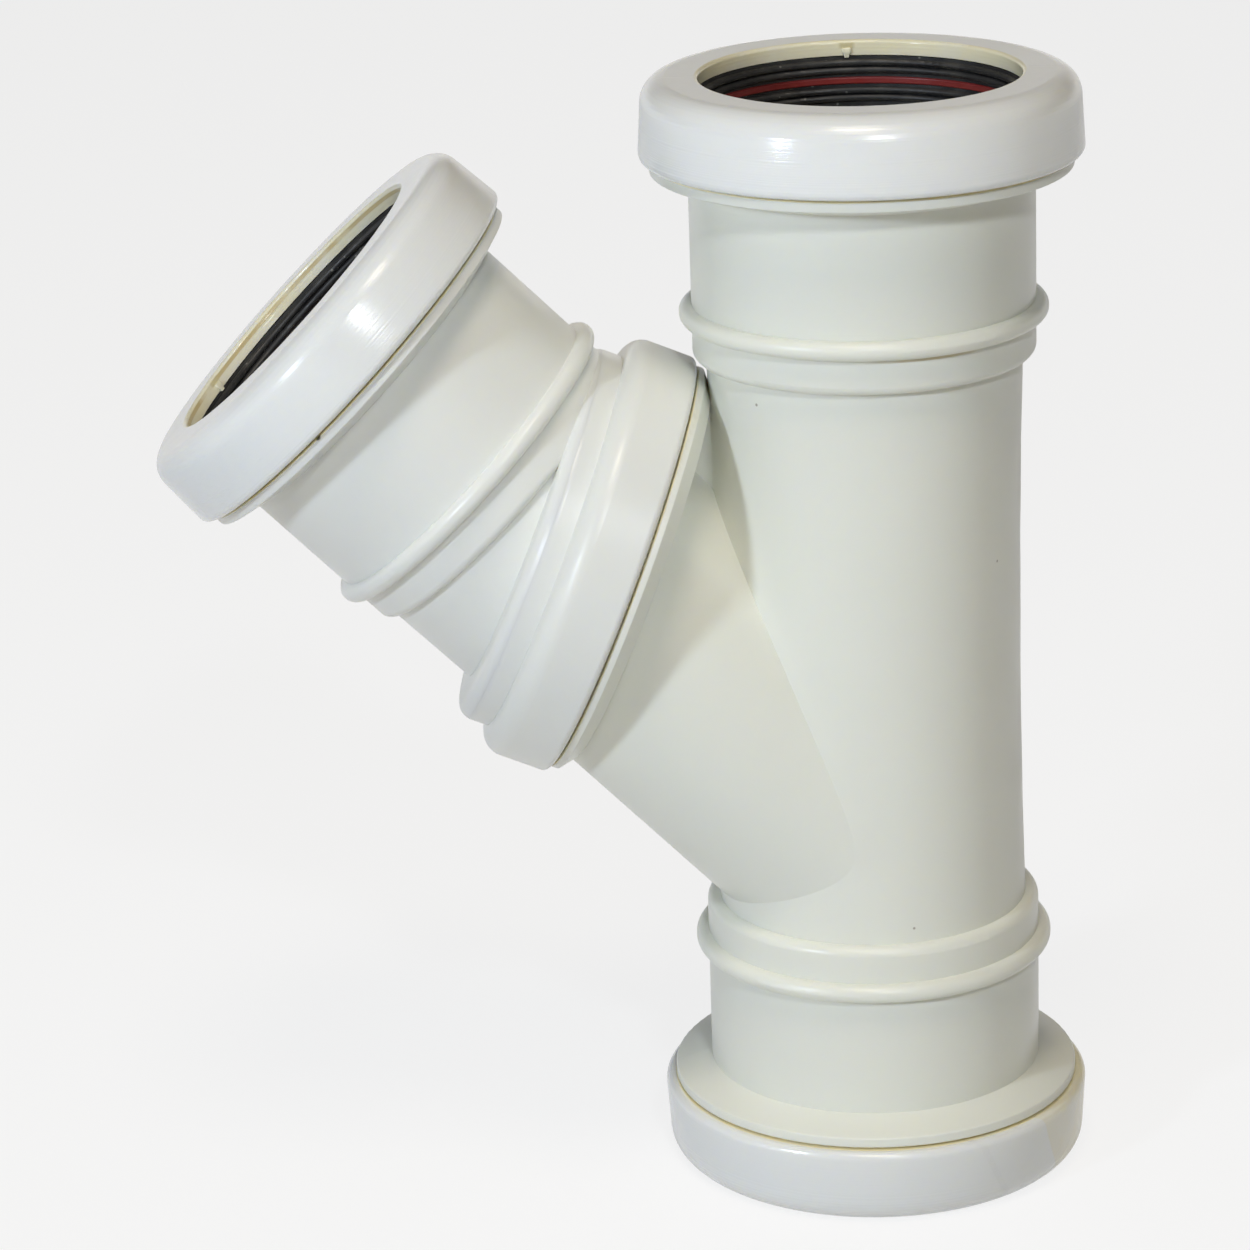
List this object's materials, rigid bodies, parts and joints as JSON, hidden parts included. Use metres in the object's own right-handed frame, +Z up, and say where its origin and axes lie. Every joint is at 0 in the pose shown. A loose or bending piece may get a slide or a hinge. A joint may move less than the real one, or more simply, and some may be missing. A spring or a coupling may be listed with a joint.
{
  "type": "lateral wye fitting",
  "caption": "Drain wye with three push-fit ring-seal sockets and a branch elbow that swivels on an oblique joint from 45 to 90 degrees.",
  "frame": {"origin": "centre of the lower socket's pipe stop, on the run's axis", "axes": "+Z up along the run, out of the upper socket; the branch leans towards -X; the part is symmetric about the XZ plane"},
  "size_m": [0.151, 0.0722, 0.1848],
  "materials": {
    "body_plastic": "satin",
    "cap_plastic": "glossy",
    "seal_rubber": "matte",
    "insert_red": "matte"
  },
  "bodies": {
    "body": {"wye_body": "body_plastic", "upper_cap": "cap_plastic", "lower_cap": "cap_plastic", "upper_seal": "seal_rubber", "lower_seal": "seal_rubber", "upper_insert_ring": "insert_red", "lower_insert_ring": "insert_red", "swivel_seal": "seal_rubber"},
    "branch": {"swivel_collar": "body_plastic", "branch_elbow": "body_plastic", "branch_cap": "cap_plastic", "branch_seal": "seal_rubber", "branch_insert_ring": "insert_red"}
  },
  "joints": [
    {"name": "branch_swivel", "type": "hinge", "parent": "body", "child": "branch", "pos_m": [-0.05105, 0, 0.06615], "axis": [-0.9239, 0, 0.3827], "continuous": true}
  ]
}
